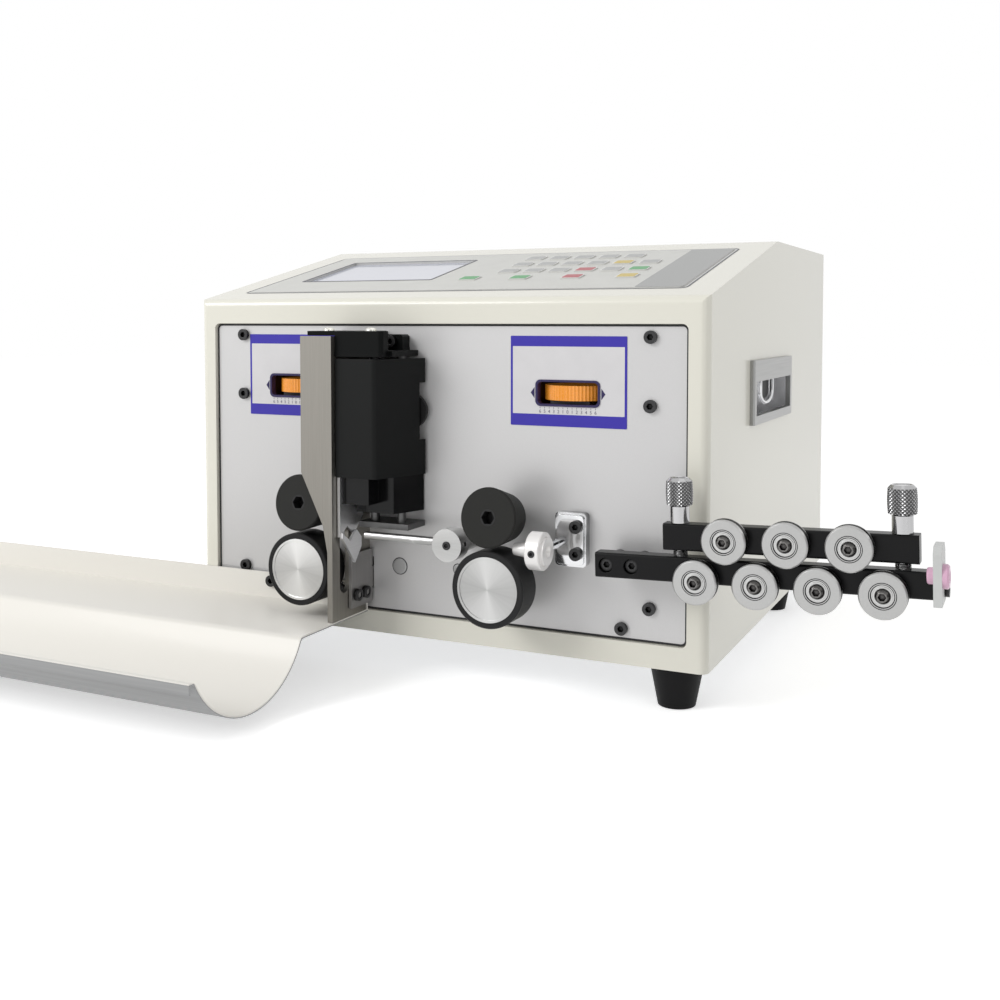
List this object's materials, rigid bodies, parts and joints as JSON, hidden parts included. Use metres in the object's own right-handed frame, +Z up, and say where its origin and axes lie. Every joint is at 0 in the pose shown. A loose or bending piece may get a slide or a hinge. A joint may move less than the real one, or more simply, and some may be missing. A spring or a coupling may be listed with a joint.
{
  "type": "wire cutting and stripping machine",
  "caption": "Benchtop wire cutting and stripping machine: sloped-top sheet cabinet with feed rollers, blades, swinging conduit, wire straightener and collecting tray.",
  "frame": {"origin": "on the floor, in the middle of the pattern of the four feet", "axes": "+X along the wire towards its supply, +Y from the front panel to the rear, +Z up"},
  "size_m": [0.795, 0.596, 0.314],
  "materials": {
    "cream_paint": "gloss paint",
    "panel_silver": "satin",
    "zinc_sheet": "zinc plated",
    "display_glass": "gloss",
    "key_foil": "matte film",
    "black_rubber": "matte",
    "tyre_rubber": "matte",
    "press_rubber": "matte",
    "bright_chrome": "polished",
    "brushed_steel": "brushed",
    "blade_steel": "ground",
    "turned_aluminium": "turned",
    "black_metal": "black oxide",
    "black_screws": "black oxide",
    "black_plastic": "matte",
    "orange_plastic": "gloss",
    "pink_ceramic": "glazed",
    "board_green": "coated",
    "red_plastic": "gloss"
  },
  "bodies": {
    "frame": {"cabinet_shell": "cream_paint", "base_pan": "zinc_sheet", "rear_panel": "cream_paint", "front_panel": "panel_silver", "control_plate": "panel_silver", "display_module": "display_glass", "key_film": "key_foil", "rubber_feet": "black_rubber", "pull_handles": "bright_chrome", "collecting_tray": "cream_paint", "side_plate": "brushed_steel", "cutter_head": "black_metal", "rod_guide": "brushed_steel", "inlet_block": "bright_chrome", "inlet_guide": "turned_aluminium", "lower_bar": "black_metal", "end_plate": "turned_aluminium", "wire_eyelet": "pink_ceramic", "lower_axle_screws": "black_screws", "socket_screws": "black_screws", "stepping_motors": "black_metal", "drive_bearings": "turned_aluminium", "press_brackets": "zinc_sheet", "cutter_frame": "turned_aluminium", "swing_motor": "black_metal", "power_supply": "zinc_sheet", "control_board": "board_green", "power_inlet": "black_plastic", "inner_spring": "brushed_steel", "outer_spring": "brushed_steel"},
    "right_drive": {"right_drive_wheel": "turned_aluminium", "right_drive_tyre": "tyre_rubber"},
    "right_arm": {"right_press_arm": "brushed_steel"},
    "right_press": {"right_press_roller": "press_rubber"},
    "right_gap": {"right_gap_wheel": "orange_plastic"},
    "left_drive": {"left_drive_wheel": "turned_aluminium", "left_drive_tyre": "tyre_rubber"},
    "left_arm": {"left_press_arm": "brushed_steel"},
    "left_press": {"left_press_roller": "press_rubber"},
    "left_gap": {"left_gap_wheel": "orange_plastic"},
    "upper_cutter": {"upper_blade_holder": "black_metal", "upper_blade": "blade_steel"},
    "lower_cutter": {"lower_blade_holder": "brushed_steel", "lower_blade": "blade_steel"},
    "screw": {"lead_screw": "brushed_steel"},
    "cover": {"blade_cover": "black_metal"},
    "knob": {"cover_knob": "black_plastic"},
    "conduit": {"conduit_arm": "turned_aluminium"},
    "lower_roller_1": {"lower_straight_roller_1": "brushed_steel"},
    "lower_roller_2": {"lower_straight_roller_2": "brushed_steel"},
    "lower_roller_3": {"lower_straight_roller_3": "brushed_steel"},
    "lower_roller_4": {"lower_straight_roller_4": "brushed_steel"},
    "upper_straightener": {"upper_bar": "black_metal", "upper_axle_screws": "black_screws"},
    "upper_roller_1": {"upper_straight_roller_1": "brushed_steel"},
    "upper_roller_2": {"upper_straight_roller_2": "brushed_steel"},
    "upper_roller_3": {"upper_straight_roller_3": "brushed_steel"},
    "inner_thumb": {"inner_thumb_screw": "bright_chrome"},
    "outer_thumb": {"outer_thumb_screw": "bright_chrome"},
    "switch": {"power_switch": "red_plastic"}
  },
  "joints": [
    {"name": "right_drive_spin", "type": "hinge", "parent": "frame", "child": "right_drive", "pos_m": [0.0655, -0.196, 0.078], "axis": [0, 1, 0], "continuous": true},
    {"name": "right_arm_lift", "type": "hinge", "parent": "frame", "child": "right_arm", "pos_m": [0.0655, -0.085, 0.10817], "axis": [-1, 0, 0], "range_deg": [0, 2.35]},
    {"name": "right_press_spin", "type": "hinge", "parent": "right_arm", "child": "right_press", "pos_m": [0.0655, -0.2055, 0.12511], "axis": [0, 0.9903, -0.1392], "continuous": true},
    {"name": "right_gap_turn", "type": "hinge", "parent": "frame", "child": "right_gap", "pos_m": [0.1035, -0.14, 0.2043], "axis": [0, 0, 1], "range_deg": [0, 330]},
    {"name": "left_drive_spin", "type": "hinge", "parent": "frame", "child": "left_drive", "pos_m": [-0.0823, -0.196, 0.078], "axis": [0, 1, 0], "continuous": true},
    {"name": "left_arm_lift", "type": "hinge", "parent": "frame", "child": "left_arm", "pos_m": [-0.0823, -0.085, 0.10817], "axis": [-1, 0, 0], "range_deg": [0, 2.35]},
    {"name": "left_press_spin", "type": "hinge", "parent": "left_arm", "child": "left_press", "pos_m": [-0.0823, -0.2055, 0.12511], "axis": [0, 0.9903, -0.1392], "continuous": true},
    {"name": "left_gap_turn", "type": "hinge", "parent": "frame", "child": "left_gap", "pos_m": [-0.1141, -0.14, 0.2043], "axis": [0, 0, 1], "range_deg": [0, 330]},
    {"name": "upper_blade_slide", "type": "slide", "parent": "frame", "child": "upper_cutter", "axis": [0, 0, 1], "range_m": [-0.006, 0]},
    {"name": "lower_blade_slide", "type": "slide", "parent": "frame", "child": "lower_cutter", "axis": [0, 0, 1], "range_m": [0, 0.006]},
    {"name": "lead_screw_turn", "type": "hinge", "parent": "frame", "child": "screw", "pos_m": [-0.025, -0.133, 0.12], "axis": [0, 0, 1], "range_deg": [-545, 5]},
    {"name": "cover_slide", "type": "slide", "parent": "frame", "child": "cover", "axis": [0, -1, 0], "range_m": [0, 0.045]},
    {"name": "knob_turn", "type": "hinge", "parent": "frame", "child": "knob", "pos_m": [-0.0125, -0.166, 0.1895], "axis": [0, 1, 0], "range_deg": [0, 90]},
    {"name": "conduit_swing", "type": "hinge", "parent": "frame", "child": "conduit", "pos_m": [0.0333, -0.196, 0.1035], "axis": [0, -1, 0], "range_deg": [0, 30]},
    {"name": "lower_roller_1_spin", "type": "hinge", "parent": "frame", "child": "lower_roller_1", "pos_m": [0.20092, -0.196, 0.0944], "axis": [0, 1, 0], "continuous": true},
    {"name": "lower_roller_2_spin", "type": "hinge", "parent": "frame", "child": "lower_roller_2", "pos_m": [0.23721, -0.196, 0.09542], "axis": [0, 1, 0], "continuous": true},
    {"name": "lower_roller_3_spin", "type": "hinge", "parent": "frame", "child": "lower_roller_3", "pos_m": [0.27349, -0.196, 0.09643], "axis": [0, 1, 0], "continuous": true},
    {"name": "lower_roller_4_spin", "type": "hinge", "parent": "frame", "child": "lower_roller_4", "pos_m": [0.30978, -0.196, 0.09744], "axis": [0, 1, 0], "continuous": true},
    {"name": "upper_bar_slide", "type": "slide", "parent": "frame", "child": "upper_straightener", "axis": [-0.0279, 0, 0.9996], "range_m": [-0.0025, 0], "deforming": ["inner_spring", "outer_spring"]},
    {"name": "upper_roller_1_spin", "type": "hinge", "parent": "upper_straightener", "child": "upper_roller_1", "pos_m": [0.21835, -0.196, 0.1205], "axis": [0, 1, 0], "continuous": true},
    {"name": "upper_roller_2_spin", "type": "hinge", "parent": "upper_straightener", "child": "upper_roller_2", "pos_m": [0.25463, -0.196, 0.12151], "axis": [0, 1, 0], "continuous": true},
    {"name": "upper_roller_3_spin", "type": "hinge", "parent": "upper_straightener", "child": "upper_roller_3", "pos_m": [0.29092, -0.196, 0.12253], "axis": [0, 1, 0], "continuous": true},
    {"name": "inner_thumb_turn", "type": "hinge", "parent": "upper_straightener", "child": "inner_thumb", "pos_m": [0.18753, -0.185, 0.13684], "axis": [-0.0279, 0, 0.9996], "range_deg": [-5, 725]},
    {"name": "outer_thumb_turn", "type": "hinge", "parent": "upper_straightener", "child": "outer_thumb", "pos_m": [0.31828, -0.185, 0.1405], "axis": [-0.0279, 0, 0.9996], "range_deg": [-5, 725]},
    {"name": "switch_rock", "type": "hinge", "parent": "frame", "child": "switch", "pos_m": [-0.15, 0.225, 0.101], "axis": [-1, 0, 0], "range_deg": [0, 18]}
  ],
  "couplings": [
    {"joint": "right_press_spin", "follows": "right_drive_spin", "ratio": -1.3863},
    {"joint": "right_gap_turn", "follows": "right_arm_lift", "ratio": 140},
    {"joint": "left_press_spin", "follows": "left_drive_spin", "ratio": -1.3863},
    {"joint": "left_gap_turn", "follows": "left_arm_lift", "ratio": 140},
    {"joint": "lower_blade_slide", "follows": "upper_blade_slide", "ratio": -1},
    {"joint": "lead_screw_turn", "follows": "upper_blade_slide", "rad_per_m": 1570.8},
    {"joint": "inner_thumb_turn", "follows": "upper_bar_slide", "rad_per_m": -5026.6},
    {"joint": "outer_thumb_turn", "follows": "upper_bar_slide", "rad_per_m": -5026.6}
  ]
}
